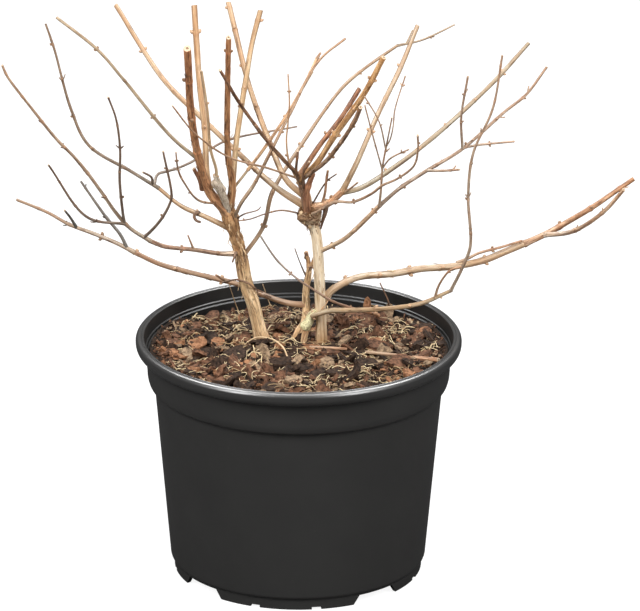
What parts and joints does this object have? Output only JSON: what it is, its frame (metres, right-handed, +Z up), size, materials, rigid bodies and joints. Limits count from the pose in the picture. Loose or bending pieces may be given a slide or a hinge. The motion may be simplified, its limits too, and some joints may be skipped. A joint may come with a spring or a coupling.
{
  "type": "potted deutzia",
  "caption": "Bare, pruned deutzia shrub: spreading canes and twigs on short woody stems, in a round black plastic nursery pot filled with bark mix.",
  "frame": {"origin": "on the ground under the middle of the pot, at the centre of the flat pad of its underside", "axes": "+Z up along the pot's axis; the wide side of the crown lies along X, and -Y faces the picture's viewer"},
  "size_m": [0.4433, 0.2789, 0.4233],
  "materials": {
    "pot_plastic": "black moulded plastic, satin",
    "potting_mix": "damp bark chips and peat",
    "stem_bark": "tan, fibrous, peeling bark",
    "bark_pale": "smooth pale tan young bark",
    "bark_orange": "smooth orange-tan bark",
    "bark_brown": "rough red-brown bark",
    "bark_dark": "rough dark bark",
    "bark_twig": "thin grey-brown bark",
    "twig_masses": "thin grey-brown twigs"
  },
  "bodies": {
    "root": {"pot": "pot_plastic", "potting_mix": "potting_mix", "stem_left": "stem_bark", "stem_right": "stem_bark", "stem_back": "stem_bark", "bough_neck": "bark_dark", "bough_shoulder": "bark_dark", "bough_upper_left": "bark_pale", "bough_left": "bark_brown", "bough_low_left": "bark_pale", "bough_right": "bark_twig", "bough_long_right": "bark_pale", "bough_low_right": "bark_pale", "cane_dark_upright": "bark_brown", "cane_brown_upright": "bark_brown", "cane_pale_tall": "bark_pale", "cane_pale_upright": "bark_pale", "cane_slim_upright": "bark_pale", "cane_olive_left": "bark_twig", "cane_wiry_left": "bark_twig", "cane_leaning_right": "bark_twig", "cane_slim_leaning": "bark_pale", "cane_arching_right": "bark_pale", "cane_long_left": "bark_pale", "cane_pale_crossing": "bark_pale", "cane_dark_crossing": "bark_dark", "cane_wiry_crossing": "bark_twig", "cane_orange_right": "bark_orange", "cane_red_right": "bark_brown", "cane_dark_right": "bark_dark", "cane_pale_far_right": "bark_pale", "cane_pale_right": "bark_pale", "cane_wiry_right": "bark_twig", "shoot_red": "bark_brown", "twigs_low_left": "twig_masses", "twigs_left": "twig_masses", "twigs_upper_left": "twig_masses", "twigs_arching_right": "twig_masses", "twigs_right_upright": "twig_masses", "twigs_right": "twig_masses", "twigs_long_right": "twig_masses", "twigs_low_right": "twig_masses"}
  },
  "joints": []
}
